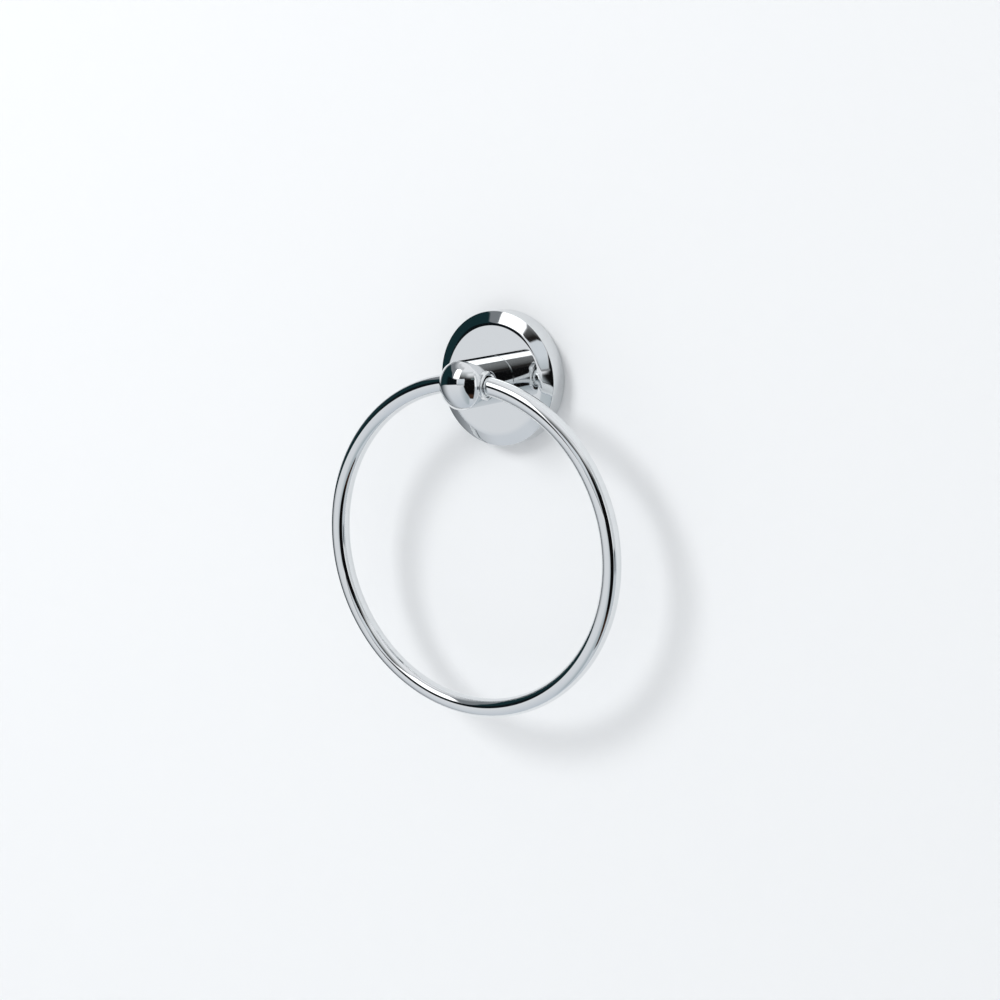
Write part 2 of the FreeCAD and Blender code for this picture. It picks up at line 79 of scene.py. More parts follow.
# A kept normal is longer than this; a face that a plain cutter left has one of no length.
KEPT_LENGTH = 0.5
# How far a cutter passes the surface that it cuts.
OVERRUN = 1.0
# Sides of the smaller turned forms.
COLLAR_SIDES = 192
BORE_SIDES = 128
SCREW_HOLE_SIDES = 64
# The sRGB curve: where its straight foot ends, the foot's slope, the curve's shift and power.
SRGB_FOOT = 0.04045
SRGB_SLOPE = 12.92
SRGB_SHIFT = 0.055
SRGB_POWER = 2.4
# The range that a noise texture mostly stays in.
CLOUD_RANGE = (0.3, 0.7)
# Socket numbers of the colour mix node, whose names are used more than once.
MIX_SHARE, MIX_FIRST, MIX_SECOND, MIX_RESULT = 0, 6, 7, 2


@dataclass(frozen=True)
class Reach:
    """How far a CAD node reaches at rest; near and far are distances out from the wall."""

    left: float
    right: float
    near: float
    far: float
    bottom: float
    top: float


def measured(node: str) -> Reach:
    """The reach of a CAD node at rest, in millimetres."""
    low, high = (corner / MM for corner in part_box(node))
    return Reach(low.x, high.x, -high.y, -low.y, low.z, high.z)


def direction(azimuth: float, elevation: float) -> Vector:
    """The way to an azimuth and an elevation in degrees; azimuth 0 is straight out of the wall."""
    turn, rise = math.radians(azimuth), math.radians(elevation)
    return Vector((math.sin(turn) * math.cos(rise), -math.cos(turn) * math.cos(rise), math.sin(rise)))


def linear(hex_colour: str, level: float = 1.0) -> tuple[float, float, float, float]:
    """Turn an sRGB hex colour into a linear one.

    Args:
        hex_colour: six hex digits, red first.
        level: factor on the linear value.

    Returns:
        Linear red, green, blue and an alpha of 1.
    """
    parts = []
    for share in (channel / 255 for channel in bytes.fromhex(hex_colour)):
        if share <= SRGB_FOOT:
            parts.append(share / SRGB_SLOPE * level)
        else:
            parts.append(((share + SRGB_SHIFT) / (1 + SRGB_SHIFT)) ** SRGB_POWER * level)
    return parts[0], parts[1], parts[2], 1.0


def feed(tree: NodeTree, node: Node, inputs: dict) -> None:
    """Set a node's inputs.

    Args:
        tree: the tree that holds the node.
        node: the node.
        inputs: socket name or number to a value, or to the output socket that feeds it.
    """
    for key, value in inputs.items():
        if isinstance(value, NodeSocket):
            tree.links.new(value, node.inputs[key])
        else:
            node.inputs[key].default_value = value


def add_node(tree: NodeTree, kind: str, inputs: Optional[dict] = None, **settings: Any) -> Node:
    """Add one node with its settings, its values and its links.

    Args:
        tree: the tree that gets the node.
        kind: the node's type name.
        inputs: what feed() takes.
        **settings: properties of the node, set before its inputs.

    Returns:
        The new node.
    """
    node = tree.nodes.new(kind)
    for name, value in settings.items():
        setattr(node, name, value)
    feed(tree, node, inputs or {})
    return node


def arithmetic(tree: NodeTree, kind: str, *values: Any) -> NodeSocket:
    """One arithmetic step in a tree, on values or on outputs of other nodes."""
    return add_node(tree, "ShaderNodeMath", dict(enumerate(values)), operation=kind).outputs[0]


def spread(tree: NodeTree, value: NodeSocket, start: Any = 0.0, end: Any = 1.0,
           low: float = 0.0, high: float = 1.0, curve: str = "LINEAR") -> NodeSocket:
    """Carry the values between two marks over to another range, and no further.

    Args:
        tree: the tree that gets the node.
        value: the output that is carried over.
        start: the value that becomes low.
        end: the value that becomes high.
        low: the result up to start.
        high: the result from end on.
        curve: the name of the interpolation.

    Returns:
        The result.
    """
    step = add_node(tree, "ShaderNodeMapRange", {
        "Value": value, "From Min": start, "From Max": end, "To Min": low, "To Max": high},
        interpolation_type=curve)
    return step.outputs[0]


def either(tree: NodeTree, share: NodeSocket, first: NodeSocket, second: NodeSocket) -> NodeSocket:
    """One shader where the share is 0 and another where it is 1."""
    return add_node(tree, "ShaderNodeMixShader", {0: share, 1: first, 2: second}).outputs[0]


class Axis(Enum):
    """The way that a turned piece's axis points, with its two cross directions."""

    OUT = (Vector((1, 0, 0)), Vector((0, 0, 1)), Vector((0, -1, 0)))
    RIGHT = (Vector((0, 1, 0)), Vector((0, 0, 1)), Vector((1, 0, 0)))
    LEFT = (Vector((0, 0, 1)), Vector((0, 1, 0)), Vector((-1, 0, 0)))
    DOWN = (Vector((0, 1, 0)), Vector((1, 0, 0)), Vector((0, 0, -1)))


@dataclass(frozen=True)
class Stretch:
    """One line or arc of a half-profile; the material is on its right as it runs."""

    start: Vector
    end: Vector
    centre: Optional[Vector] = None
    steps: int = 1

    def turn(self) -> float:
        """The signed angle of an arc, in radians."""
        return (self.start - self.centre).angle_signed(self.end - self.centre, 0.0)

    def place(self, share: float) -> Vector:
        """The point at a share of the way along.

        Args:
            share: 0 at the start, 1 at the end.

        Returns:
            The radius and the distance along the axis.
        """
        if self.centre is None:
            return self.start.lerp(self.end, share)
        spin = Matrix.Rotation(-self.turn() * share, 2)
        return self.centre + spin @ (self.start - self.centre)

    def facing(self, share: float) -> Vector:
        """The way that the surface faces at a share of the way along.

        Args:
            share: 0 at the start, 1 at the end.

        Returns:
            A unit pair that points away from the material.
        """
        if self.centre is None:
            along = self.end - self.start
            return Vector((-along.y, along.x)).normalized()
        spoke = (self.place(share) - self.centre).normalized()
        return spoke if self.turn() > 0 else -spoke


class Outline:
    """A half-profile drawn from stretches, each of which starts where the last one ended."""

    def __init__(self, radius: float, out: float) -> None:
        """Start an outline at a point.

        Args:
            radius: distance from the axis.
            out: distance along the axis.
        """
        self.point = Vector((radius, out))
        self.heading = Vector((1.0, 0.0))
        self.stretches: list[Stretch] = []

    def line(self, radius: float, out: float, steps: int = 1) -> "Outline":
        """Draw a straight line to a point.

        Args:
            radius: the point's distance from the axis.
            out: its distance along the axis.
            steps: equal steps of the line.

        Returns:
            The outline, so that calls can follow each other.
        """
        end = Vector((radius, out))
        if (end - self.point).length > NOTHING:
            self.stretches.append(Stretch(self.point, end, steps=steps))
            self.heading = (end - self.point).normalized()
            self.point = end
        return self

    def aim(self, turn: float) -> "Outline":
        """Turn the heading by some degrees towards the material, for the next arc."""
        self.heading = Matrix.Rotation(-math.radians(turn), 2) @ self.heading
        return self

    def arc(self, size: float, turn: float, steps: int = 12) -> "Outline":
        """Draw an arc that leaves the last stretch smoothly.

        Args:
            size: the arc's radius.
            turn: degrees that the heading turns towards the material; negative is away from it.
            steps: facets of the arc.

        Returns:
            The outline, so that calls can follow each other.
        """
        side = 1.0 if turn > 0 else -1.0
        centre = self.point + Vector((self.heading.y, -self.heading.x)) * size * side
        spin = Matrix.Rotation(-math.radians(turn), 2)
        end = centre + spin @ (self.point - centre)
        self.stretches.append(Stretch(self.point, end, centre, steps))
        self.heading = spin @ self.heading
        self.point = end
        return self

    def corners(self, *points: tuple[float, float, float], steps: int = 6) -> "Outline":
        """Draw straight lines through points whose corners are rounded.

        Args:
            *points: radius, out and the size of the rounding at each; the last has none.
            steps: facets of each rounding.

        Returns:
            The outline, so that calls can follow each other.
        """
        for (radius, out, blend), after in zip(points, points[1:] + (None,)):
            corner = Vector((radius, out))
            if blend and after:
                ahead = (Vector(after[:2]) - corner).normalized()
                back = (corner - self.point).normalized()
                turn = math.degrees(back.angle_signed(ahead, 0.0))
                cut = blend * math.tan(math.radians(abs(turn)) / 2)
                near = corner - back * cut
                self.line(near.x, near.y)
                self.arc(blend, turn, steps)
            else:
                self.line(radius, out)
        return self

    def walk(self) -> tuple[list[Vector], list[tuple[int, int, Vector, Vector]]]:
        """Follow the stretches in their short steps.

        Returns:
            The points, and for each step the numbers of its two points and the way that the
            surface faces at each of them.
        """
        points = [self.stretches[0].start]
        steps = []
        for stretch in self.stretches:
            for step in range(stretch.steps):
                points.append(stretch.place((step + 1) / stretch.steps))
                near = stretch.facing(step / stretch.steps)
                far = stretch.facing((step + 1) / stretch.steps)
                steps.append((len(points) - 2, len(points) - 1, near, far))
        return points, steps


@dataclass(frozen=True)
class Turning:
    """A turned form: an outline carried once round an axis."""

    axis: Axis = Axis.OUT
    centre: Vector = Vector((0.0, 0.0, 0.0))
    sides: int = 256

    def piece(self, name: str, outline: Outline) -> Object:
        """Turn an outline into a closed object with exact shading normals.

        Args:
            name: the name of the object and of its mesh.
            outline: the half-profile; it is closed, or it starts and ends on the axis.

        Returns:
            The object, with its normals also kept per face corner.
        """
        points, steps = outline.walk()
        if (points[0] - points[-1]).length < MEETING:
            points.pop()
        vertices: list[Vector] = []
        rings: list[list[int]] = []
        for point in points:
            count = 1 if point.x < NOTHING else self.sides
            rings.append([len(vertices) + i % count for i in range(self.sides)])
            vertices.extend(self.carry(point, i) * MM + self.centre * MM for i in range(count))
        faces: list[list[int]] = []
        normals: list[Vector] = []
        for first, last, near, far in steps:
            here, there = rings[first], rings[last % len(points)]
            for i in range(self.sides):
                j = (i + 1) % self.sides
                face: dict[int, Vector] = {}
                for vertex, facing, side in (
                        (here[i], near, i), (there[i], far, i), (there[j], far, j), (here[j], near, j)):
                    face.setdefault(vertex, self.carry(facing, side))
                faces.append(list(face))
                normals.extend(face.values())
        mesh = bpy.data.meshes.new(name)
        mesh.from_pydata(vertices, [], faces)
        shade(mesh, normals)
        return as_object(name, mesh)

    def cylinder(self, name: str, radius: float, low: float, high: float) -> Object:
        """A plain cylinder between two distances along the axis."""
        outline = Outline(0.0, high).line(radius, high).line(radius, low).line(0.0, low)
        return self.piece(name, outline)

    def carry(self, pair: Vector, side: int) -> Vector:
        """Turn a pair of the half-profile to one side of the turned form.

        Args:
            pair: a point or a direction in the half-profile.
            side: the number of the side.

        Returns:
            The point or direction in space, from the form's own centre.
        """
        across, aside, along = self.axis.value
        angle = 2 * math.pi * side / self.sides
        radial = across * math.cos(angle) + aside * math.sin(angle)
        return radial * pair.x + along * pair.y


def shade(mesh: Mesh, normals: Sequence[Vector]) -> None:
    """Shade a mesh by one normal for each face corner, and keep them as an attribute.

    Args:
        mesh: the mesh.
        normals: one for each face corner, in order.
    """
    mesh.shade_smooth()
    kept = mesh.attributes.new(TRUE_NORMAL, "FLOAT_VECTOR", "CORNER")
    kept.data.foreach_set("vector", [value for normal in normals for value in normal])
    mesh.normals_split_custom_set([tuple(normal) for normal in normals])


def soften(mesh: Mesh) -> None:
    """Shade a mesh smooth, with a hard line wherever two faces meet at more than SHARP_ANGLE."""
    mesh.shade_smooth()
    mesh.set_sharp_from_angle(angle=math.radians(SHARP_ANGLE))


def as_object(name: str, mesh: Mesh) -> Object:
    """Put a mesh in the scene as an object at the origin.

    Args:
        name: the object's name.
        mesh: its mesh.

    Returns:
        The object.
    """
    piece = bpy.data.objects.new(name, mesh)
    bpy.context.scene.collection.objects.link(piece)
    return piece


def evaluated_mesh(piece: Object) -> Mesh:
    """Work out what an object's modifiers give.

    Args:
        piece: the object.

    Returns:
        A new plain mesh.
    """
    bpy.context.view_layer.update()
    graph = bpy.context.evaluated_depsgraph_get()
    return bpy.data.meshes.new_from_object(piece.evaluated_get(graph))


def open_tree(name: str, shape: str, sizes: Sequence[tuple[str, str]],
              result: str) -> tuple[NodeTree, Any]:
    """Start a geometry tree with named inputs.

    Args:
        name: the tree's name.
        shape: the name of the geometry that it takes.
        sizes: the name and the kind of each further input.
        result: the name of the geometry that it gives.

    Returns:
        The tree and its inputs, by name.
    """
    tree = bpy.data.node_groups.new(name, "GeometryNodeTree")
    tree.interface.new_socket(shape, in_out="INPUT", socket_type="NodeSocketGeometry")
    for size, kind in sizes:
        tree.interface.new_socket(size, in_out="INPUT", socket_type="NodeSocket" + kind)
    tree.interface.new_socket(result, in_out="OUTPUT", socket_type="NodeSocketGeometry")
    return tree, add_node(tree, "NodeGroupInput").outputs


def close_tree(tree: NodeTree, shape: NodeSocket, finish: Material) -> None:
    """End a geometry tree: realise its shape, set the material and give it out.

    Args:
        tree: the tree.
        shape: the geometry that it made.
        finish: the material that it sets.
    """
    real = add_node(tree, "GeometryNodeRealizeInstances", {"Geometry": shape})
    dressed = add_node(tree, "GeometryNodeSetMaterial", {
        "Geometry": real.outputs[0], "Material": finish})
    add_node(tree, "NodeGroupOutput", {0: dressed.outputs[0]})


def run_tree(piece: Object, tree: NodeTree, values: dict) -> None:
    """Run a node tree on a piece and keep the plain mesh that it gives.

    Args:
        piece: the object whose mesh is replaced.
        tree: the node tree.
        values: the tree's inputs by name.
    """
    modifier = piece.modifiers.new("Tree", "NODES")
    modifier.node_group = tree
    for item in tree.interface.items_tree:
        if item.in_out == "INPUT" and item.name in values:
            modifier[item.identifier] = values[item.name]
    piece.data = evaluated_mesh(piece)
    piece.modifiers.clear()


def carve(piece: Object, *cutters: Object) -> None:
    """Cut closed forms out of a piece and shade the result by the kept normals.

    Args:
        piece: the object that is cut.
        *cutters: the objects that are taken away from it, and then deleted.
    """
    for cutter in cutters:
        tool = piece.modifiers.new("Cut", "BOOLEAN")
        tool.operation = "DIFFERENCE"
        tool.solver = "EXACT"
        tool.object = cutter
    mesh = evaluated_mesh(piece)
    piece.modifiers.clear()
    piece.data = mesh
    for cutter in cutters:
        bpy.data.objects.remove(cutter)
    if TRUE_NORMAL not in mesh.attributes:
        soften(mesh)
        return
    kept = mesh.attributes[TRUE_NORMAL].data
    normals = [None] * len(mesh.loops)
    for face in mesh.polygons:
        for corner in face.loop_indices:
            normal = Vector(kept[corner].vector)
            if normal.length < KEPT_LENGTH:
                normal = face.normal.copy()
            normals[corner] = normal if normal.dot(face.normal) > 0 else -normal
    mesh.shade_smooth()
    mesh.normals_split_custom_set([tuple(normal.normalized()) for normal in normals])


def hexagonal_bar(axis: Axis, centre: Vector, flats: float, near: float, far: float) -> Object:
    """A bar that cuts a hexagon socket.

    Args:
        axis: the way that the bar runs.
        centre: the point from which near and far are counted.
        flats: the size across the flats.
        near: where the bar starts along the axis.
        far: where it ends.

    Returns:
        The bar as an object.
    """
    bar = Turning(axis, centre, sides=6).cylinder("hexagonal_bar", flats / math.sqrt(3), near, far)
    bar.data.attributes.remove(bar.data.attributes[TRUE_NORMAL])
    return bar


def layered(name: str, layers: Sequence[Sequence[Vector]]) -> Object:
    """A closed form skinned over rings of equal length, with a flat face at each end.

    Args:
        name: the object's name.
        layers: the rings, in millimetres; each runs anticlockwise as the next one faces it.

    Returns:
        The form as an object, with its faces outwards.
    """
    count = len(layers[0])
    faces = [tuple(reversed(range(count)))]
    for level in range(len(layers) - 1):
        low = level * count
        for i in range(count):
            j = (i + 1) % count
            faces.append((low + i, low + j, low + count + j, low + count + i))
    top = (len(layers) - 1) * count
    faces.append(tuple(range(top, top + count)))
    mesh = bpy.data.meshes.new(name)
    mesh.from_pydata([point * MM for layer in layers for point in layer], [], faces)
    return as_object(name, mesh)


def new_finish(name: str) -> tuple[Material, NodeTree, Node]:
    """Start a material.

    Args:
        name: its name.

    Returns:
        The material, its tree and its one surface shader.
    """
    finish = bpy.data.materials.new(name)
    finish.use_nodes = True
    tree = finish.node_tree
    return finish, tree, tree.nodes["Principled BSDF"]


def clouds(tree: NodeTree, size: float, detail: float) -> NodeSocket:
    """Soft noise in the object's own space.

    Args:
        tree: the material's tree.
        size: about how large a cloud is, in millimetres.
        detail: how many finer layers the noise has.

    Returns:
        The noise, from 0 to 1.
    """
    place = add_node(tree, "ShaderNodeTexCoord")
    noise = add_node(tree, "ShaderNodeTexNoise", {
        "Vector": place.outputs["Object"], "Scale": 1 / (size * MM), "Detail": detail})
    return noise.outputs[0]


def mottle(tree: NodeTree, cloud: NodeSocket, colour: str, levels: tuple[float, float]) -> NodeSocket:
    """A colour that wavers with a noise between two levels of itself.

    Args:
        tree: the material's tree.
        cloud: the noise.
        colour: the hex colour.
        levels: its factor where the noise is 0 and where it is 1.

    Returns:
        The colour.
    """
    tone = add_node(tree, "ShaderNodeValToRGB", {"Fac": cloud})
    for element, level in zip(tone.color_ramp.elements, levels):
        element.color = linear(colour, level)
    return tone.outputs[0]


def relief(tree: NodeTree, cloud: NodeSocket, strength: float, height: float) -> NodeSocket:
    """Let a noise raise the surface.

    Args:
        tree: the material's tree.
        cloud: the noise.
        strength: how much of the relief shows.
        height: how high the noise raises it, in millimetres.

    Returns:
        The surface's normal.
    """
    bump = add_node(tree, "ShaderNodeBump", {
        "Height": cloud, "Strength": strength, "Distance": height * MM})
    return bump.outputs[0]


@dataclass(frozen=True)
class PolishedChrome:
    """Bright chrome plate on polished brass.

    To the eye it is a mirror with a slightly cool grey of its own. The buffing before the
    plating leaves waves a few millimetres long that only just bend the reflections, and a
    faint change of gloss.
    """

    name: str = "PolishedChromePlate"
    colour: str = "E6E8E9"
    haze_length: float = 36.0
    haze_detail: float = 3.0
    haze_gloss: tuple[float, float] = (0.03, 0.055)
    wave_length: float = 9.0
    wave_height: float = 0.0006

    def material(self) -> Material:
        """Build the finish.

        Returns:
            The material.
        """
        finish, tree, shader = new_finish(self.name)
        haze = clouds(tree, self.haze_length, self.haze_detail)
        waves = clouds(tree, self.wave_length, detail=0.0)
        feed(tree, shader, {
            "Base Color": linear(self.colour),
            "Metallic": 1.0,
            "Roughness": spread(tree, haze, *CLOUD_RANGE, *self.haze_gloss),
            "Normal": relief(tree, waves, 1.0, self.wave_height),
        })
        return finish


@dataclass(frozen=True)
class ZincPlatedSteel:
    """Steel fasteners with clear zinc plate: grey, slightly milky, with a satin gloss."""

    name: str = "ClearZincPlatedSteel"
    colour: str = "B9BCBE"
    tones: tuple[float, float] = (0.82, 1.1)
    gloss: tuple[float, float] = (0.24, 0.39)
    grain: float = 0.6
    grain_detail: float = 4.0

    def material(self) -> Material:
        """Build the finish.

        Returns:
            The material.
        """
        finish, tree, shader = new_finish(self.name)
        cloud = clouds(tree, self.grain, self.grain_detail)
        feed(tree, shader, {
            "Base Color": mottle(tree, cloud, self.colour, self.tones),
            "Metallic": 1.0,
            "Roughness": spread(tree, cloud, 0.0, 1.0, *self.gloss),
        })
        return finish


@dataclass(frozen=True)
class DieCastZinc:
    """Bare die-cast zinc alloy: dull blue-grey with the fine skin of the die."""

    name: str = "DieCastZincAlloy"
    colour: str = "9A9DA1"
    tones: tuple[float, float] = (0.75, 1.15)
    gloss: float = 0.5
    skin: float = 0.9
    skin_detail: float = 5.0
    skin_height: float = 0.02
    skin_strength: float = 0.6

    def material(self) -> Material:
        """Build the finish.

        Returns:
            The material.
        """
        finish, tree, shader = new_finish(self.name)
        cloud = clouds(tree, self.skin, self.skin_detail)
        feed(tree, shader, {
            "Base Color": mottle(tree, cloud, self.colour, self.tones),
            "Metallic": 1.0,
            "Roughness": self.gloss,
            "Normal": relief(tree, cloud, self.skin_strength, self.skin_height),
        })
        return finish


class Slot(Enum):
    """The record's material slots."""

    CHROME = "chrome"
    STEEL = "plated_steel"
    ZINC = "cast_zinc"


@dataclass
class Workshop:
    """Holds the finished materials and hands pieces to the frame."""

    finishes: dict[Slot, Material] = field(default_factory=dict)

    def prepare(self) -> None:
        """Make one material for each slot."""
        self.finishes = {
            Slot.CHROME: PolishedChrome().material(),
            Slot.STEEL: ZincPlatedSteel().material(),
            Slot.ZINC: DieCastZinc().material(),
        }

    def hand_over(self, piece: Object, node: str, slot: Slot, body: str) -> None:
        """Dress a piece, put it on its body and let it stand for its CAD node.

        Args:
            piece: the finished object at the origin.
            node: the CAD node that it replaces.
            slot: the record's slot that gives its finish.
            body: the body that carries it.
        """
        kept = piece.data.attributes.get(TRUE_NORMAL)
        if kept:
            piece.data.attributes.remove(kept)
        piece.data.materials.clear()
        piece.data.materials.append(self.finishes[slot])
        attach(piece, body)
        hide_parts(node)
        LOG.info("%s: %d faces", piece.name, len(piece.data.polygons))


@dataclass
class WallRose:
    """The turned cover on the wall, with the set-screw's hole in its underside."""

    radius: float
    depth: float
    flat_radius: float = 26.95
    shoulder: float = 6.0
    shoulder_tilt: float = 23.9
    crown_tilt: float = 25.0
    lip: float = 35.0
    edge: float = 0.5
    edge_tilt: float = 27.4
    wall: float = 2.2
    rim_wall: float = 2.4
    hole: float = 6.05
    back_edge: float = 0.4
    inner_blend: float = 1.0
    inner_flat: float = 27.7
    inner_rim_out: float = 8.706
    screw_out: float = 3.2
    screw_hole: float = 2.05
    drill_depth: float = 6.0

    def outline(self) -> Outline:
        """Flat face, soft shoulder, nearly straight bevel, lip, edge, rim and hollow.

        Returns:
            The closed half-profile. The bevel's radius is the one that fills the room between
            the shoulder and the lip.
        """
        near, middle, far = (math.sin(math.radians(tilt)) for tilt in (
            self.shoulder_tilt, self.crown_tilt, self.edge_tilt))
        room = self.radius - self.flat_radius - self.shoulder * near
        room -= self.lip * (far - middle) + self.edge * (1 - far)
        shape = Outline(self.hole, self.depth).line(self.flat_radius, self.depth)
        shape.arc(self.shoulder, self.shoulder_tilt, steps=24)
        shape.arc(room / (middle - near), self.crown_tilt - self.shoulder_tilt, steps=12)
        shape.arc(self.lip, self.edge_tilt - self.crown_tilt, steps=10)
        shape.arc(self.edge, 90 - self.edge_tilt, steps=16)
        inner = self.depth - self.wall
        bore = self.radius - self.rim_wall
        return shape.corners(
            (self.radius, 0.0, self.back_edge),
            (bore, 0.0, 0.0),
            (bore, self.inner_rim_out, self.inner_blend),
            (self.inner_flat, inner, self.inner_blend),
            (self.hole, inner, 0.0),
            (self.hole, self.depth, 0.0),
        )

    def build(self, shop: Workshop) -> None:
        """Turn the rose, drill it and hand it over.

        Args:
            shop: the workshop that dresses the piece and hands it over.
        """
        rose = Turning().piece("wall_rose_shell", self.outline())
        drilling = Turning(Axis.DOWN, Vector((0.0, -self.screw_out, 0.0)), SCREW_HOLE_SIDES)
        carve(rose, drilling.cylinder(
            "drill", self.screw_hole, self.radius - self.drill_depth, self.radius + OVERRUN))
        shop.hand_over(rose, "wall_rose", Slot.CHROME, "wall_mount")


@dataclass
class Post:
    """The short arm with its domed end, bored across for the two collars."""

    radius: float
    apex: float
    base: float
    tail: float
    axis_out: float
    edge: float = 0.8
    sphere: float = 15.06
    base_break: float = 0.35
    spigot: float = 6.0
    tapped: float = 3.05
    tapped_out: float = 24.9
    drill_tip: float = 1.8
    cross_bore: float = 6.05
    seat: float = 9.687
    seat_radius: float = 7.35

    def outline(self) -> Outline:
        """Dome, round edge, side, broken base edge, spigot and the tapped hole.

        Returns:
            The half-profile, that starts and ends on the axis.
        """
        tilt = math.degrees(math.asin((self.radius - self.edge) / (self.sphere - self.edge)))
        shape = Outline(0.0, self.apex)
        shape.arc(self.sphere, tilt, steps=40)
        shape.arc(self.edge, 90 - tilt, steps=12)
        shape.line(self.radius, self.base + self.base_break)
        shape.line(self.radius - self.base_break, self.base)
        shape.line(self.spigot, self.base)
        shape.line(self.spigot, self.tail)
        shape.line(self.tapped, self.tail)
        shape.line(self.tapped, self.tapped_out)
        return shape.line(0.0, self.tapped_out + self.drill_tip)

    def build(self, shop: Workshop) -> None:
        """Turn the post, bore it across, face its two seats and hand it over.

        Args:
            shop: the workshop that dresses the piece and hands it over.
        """
        post = Turning().piece("post_arm", self.outline())
        centre = Vector((0.0, -self.axis_out, 0.0))
        reach = self.radius + 2 * OVERRUN
        cutters = [Turning(Axis.RIGHT, centre, BORE_SIDES).cylinder("bore", self.cross_bore, -reach, reach)]
        for axis in (Axis.RIGHT, Axis.LEFT):
            facing = Turning(axis, centre, COLLAR_SIDES)
            cutters.append(facing.cylinder("seat", self.seat_radius, self.seat, reach))
        carve(post, *cutters)
        shop.hand_over(post, "post", Slot.CHROME, "wall_mount")


@dataclass
class CollarBush:
    """One turned collar bush, with its round bead and flared mouth."""

    face: float
    end: float
    collar: float
    axis_out: float
    bore: float = 5.05
    wall: float = 1.0
    seat: float = 9.687
    inner: float = 5.15
    mouth: float = 5.08
    flare_end: float = 10.987
    bead_tilt: float = 40.0

    def outline(self) -> Outline:
        """Round bead, seat, spigot, bore and the flare.

        Returns:
            The half-profile, closed on itself.
        """
        tilt = math.radians(self.bead_tilt)
        size = (self.collar - self.inner) / 2 / math.sin(tilt)
        low = self.face - size * (1 - math.cos(tilt))
        shape = Outline(self.inner, low).aim(-self.bead_tilt)
        shape.arc(size, 2 * self.bead_tilt, steps=24)
        return shape.corners(
            (self.collar, self.seat, 0.0),
            (self.bore + self.wall, self.seat, 0.0),
            (self.bore + self.wall, self.end, 0.0),
            (self.bore, self.end, 0.0),
            (self.bore, self.flare_end, 0.0),
            (self.mouth, low - self.inner + self.mouth, 0.0),
            (self.inner, low, 0.0),
        )

    def build(self, shop: Workshop, side: str, axis: Axis) -> None:
        """Turn one bush and hand it over.

        Args:
            shop: the workshop that dresses the piece and hands it over.
            side: left or right.
            axis: the way from the post to that side.
        """
        turning = Turning(axis, Vector((0.0, -self.axis_out, 0.0)), COLLAR_SIDES)
        bush = turning.piece("bush_%s_collar" % side, self.outline())
        shop.hand_over(bush, "bush_" + side, Slot.CHROME, "wall_mount")


@dataclass
class SwingRing:
    """The rod ring: two hidden journals, two tight bends and the big arc between them."""

    rod: float
    axis_out: float
    sag: float
    big: float
    start: float = 3.0
    chamfer: float = 0.5
    reach: float = 10.987
    bend: float = 18.0
    rod_sides: int = 72
    big_steps: int = 420
    bend_steps: int = 16

    def path(self) -> list[tuple[Vector, float]]:
        """Follow the rod's centre line from one hidden end to the other.

        Returns:
            Its points with the rod's thickness at each, as a share.
        """
        lean = math.asin(self.reach / (self.big - self.bend))
        drop = self.bend + math.sqrt((self.big - self.bend) ** 2 - self.reach ** 2)
        thin = 1 - self.chamfer / self.rod
        right = [(Vector((self.start, 0.0)), thin), (Vector((self.start + self.chamfer, 0.0)), 1.0)]
        for step in range(self.bend_steps + 1):
            angle = math.pi / 2 - lean * step / self.bend_steps
            point = Vector((self.reach, -self.bend))
            point += Vector((math.cos(angle), math.sin(angle))) * self.bend
            right.append((point, 1.0))
        left = [(Vector((-point.x, point.y)), share) for point, share in reversed(right)]
        first = math.pi / 2 - lean
        sweep = 2 * math.pi - 2 * lean
        loop = []
        for step in range(1, self.big_steps):
            angle = first - sweep * step / self.big_steps
            point = Vector((math.cos(angle), math.sin(angle))) * self.big
            loop.append((Vector((point.x, point.y - drop)), 1.0))
        return right + loop + left

    def sweep_tree(self, finish: Material) -> NodeTree:
        """A node tree that sweeps a round rod along the object's own line of edges.

        Args:
            finish: the material that the tree sets.

        Returns:
            The tree, with the rod's radius and its number of sides as named inputs.
        """
        tree, given = open_tree(
            "RodAlongPath", "Path", (("Rod Radius", "Float"), ("Rod Sides", "Int")), "Rod")
        curve = add_node(tree, "GeometryNodeMeshToCurve", {"Mesh": given["Path"]})
        share = add_node(tree, "GeometryNodeInputNamedAttribute", {"Name": "thickness"},
                         data_type="FLOAT")
        sized = add_node(tree, "GeometryNodeSetCurveRadius", {
            "Curve": curve.outputs[0], "Radius": share.outputs[0]})
        section = add_node(tree, "GeometryNodeCurvePrimitiveCircle", {
            "Resolution": given["Rod Sides"], "Radius": given["Rod Radius"]})
        swept = add_node(tree, "GeometryNodeCurveToMesh", {
            "Curve": sized.outputs[0], "Profile Curve": section.outputs[0], "Fill Caps": True})
        smooth = add_node(tree, "GeometryNodeSetShadeSmooth", {"Geometry": swept.outputs[0]})
        close_tree(tree, smooth.outputs[0], finish)
        return tree

    def build(self, shop: Workshop) -> None:
        """Draw the path, sweep the rod along it and hand it over.

        Args:
            shop: the workshop that dresses the piece and hands it over.
        """
        path = self.path()
        mesh = bpy.data.meshes.new("rod_path")
        points = [Vector((p.x, -self.axis_out, p.y - self.sag)) * MM for p, _ in path]
        mesh.from_pydata(points, [(i, i + 1) for i in range(len(points) - 1)], [])
        shares = mesh.attributes.new("thickness", "FLOAT", "POINT")
        shares.data.foreach_set("value", [share for _, share in path])
        ring = as_object("swing_ring_rod", mesh)
        tree = self.sweep_tree(shop.finishes[Slot.CHROME])
        run_tree(ring, tree, {"Rod Radius": self.rod * MM, "Rod Sides": self.rod_sides})
        for face in ring.data.polygons:
            face.use_smooth = len(face.vertices) == 4
        shop.hand_over(ring, "ring", Slot.CHROME, "ring")


